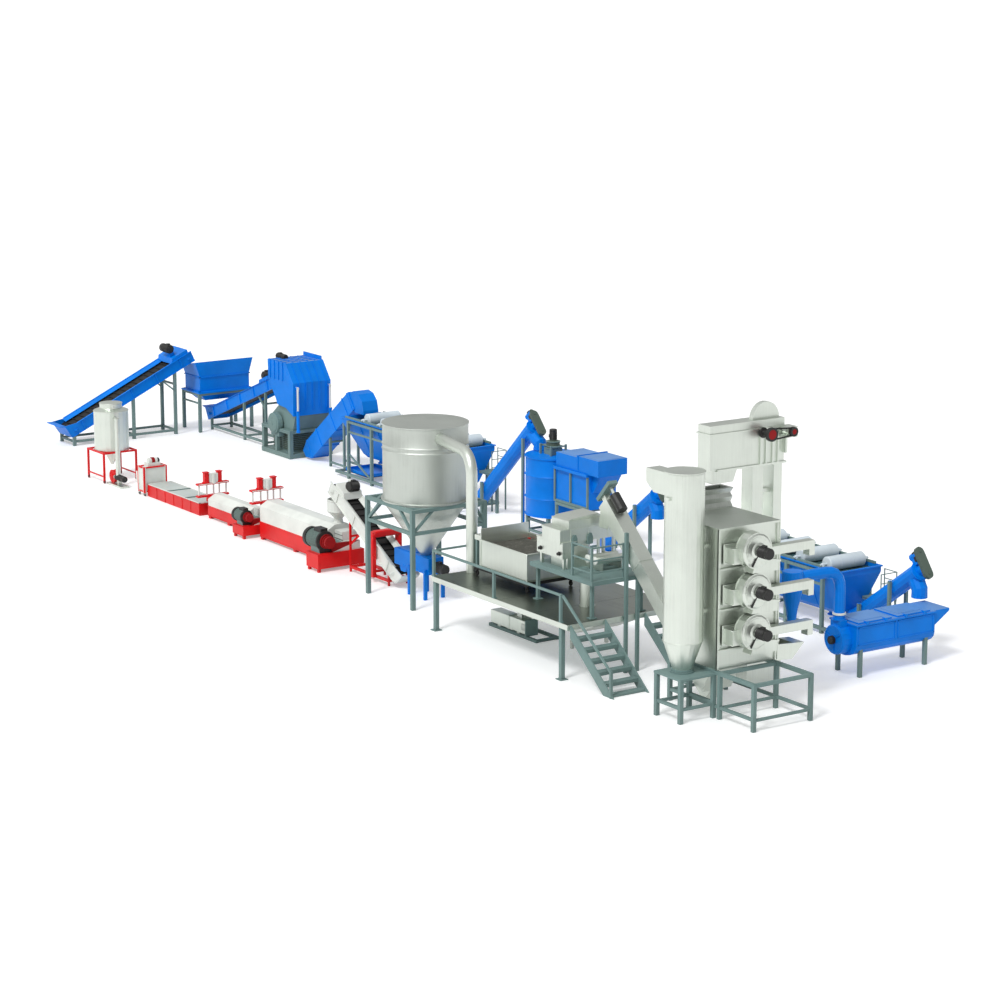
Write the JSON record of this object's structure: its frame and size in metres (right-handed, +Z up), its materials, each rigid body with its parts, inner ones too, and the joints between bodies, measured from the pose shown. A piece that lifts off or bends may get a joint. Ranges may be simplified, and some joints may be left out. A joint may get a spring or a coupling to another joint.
{
  "type": "scale model of a plastic washing line",
  "caption": "Half-size model of a plastic washing line: belt conveyors, shredder, wash tanks, screws, dryer tower, silo and pelletizing machines standing on one floor.",
  "frame": {"origin": "middle of the bounding box, on the floor", "axes": "+X runs along the line towards the drying tower, +Y towards the washing row, +Z up"},
  "size_m": [30.4598, 7.5806, 5.15],
  "materials": {
    "blue_paint": "gloss blue paint",
    "grey_paint": "satin grey-green paint",
    "stainless": "brushed stainless",
    "red_paint": "gloss red paint",
    "white_paint": "satin white paint",
    "belt_rubber": "matt black belt",
    "pale_paint": "pale paddle drums"
  },
  "bodies": {
    "root": {"blue_duct": "blue_paint", "box_washer": "blue_paint", "bunker": "blue_paint", "bunker_frame": "grey_paint", "cooling_bath": "red_paint", "cyclone": "stainless", "dewatering_machine": "blue_paint", "drum_frame": "grey_paint", "dryer_blower_1": "stainless", "dryer_blower_2": "stainless", "dryer_blower_3": "stainless", "dryer_frame": "grey_paint", "dryer_tower": "stainless", "elevator": "stainless", "extruder_1_base": "red_paint", "extruder_1_cover": "white_paint", "extruder_1_drive": "grey_paint", "extruder_2_base": "red_paint", "extruder_2_cover": "white_paint", "extruder_2_drive": "grey_paint", "feed_belt": "belt_rubber", "feed_frame": "grey_paint", "feed_trough": "blue_paint", "float_drums_1": "pale_paint", "float_drums_2": "pale_paint", "float_frame_1": "grey_paint", "float_frame_2": "grey_paint", "float_tank_1": "blue_paint", "float_tank_2": "blue_paint", "infeed_belt": "belt_rubber", "infeed_frame": "grey_paint", "infeed_trough": "blue_paint", "pellet_blower": "stainless", "pellet_feed_belt": "belt_rubber", "pellet_feed_frame": "red_paint", "pellet_feed_trough": "white_paint", "pellet_silo": "stainless", "pellet_silo_frame": "red_paint", "platform_deck": "stainless", "process_tank": "stainless", "screw_conveyor_2": "blue_paint", "screw_conveyor_3": "blue_paint", "screw_conveyor_4": "blue_paint", "screw_washer": "blue_paint", "shredder_base": "grey_paint", "shredder_hood": "blue_paint", "silo": "stainless", "silo_feeder": "blue_paint", "silo_frame": "grey_paint", "silo_pipe": "stainless", "silo_roof": "stainless", "sorter": "stainless", "sorting_screw": "stainless", "stair_1": "grey_paint", "stair_2": "grey_paint", "strand_cutter": "white_paint", "upper_platform": "grey_paint", "vat": "stainless", "wash_drum": "blue_paint", "wash_drum_roof": "blue_paint"}
  },
  "joints": []
}
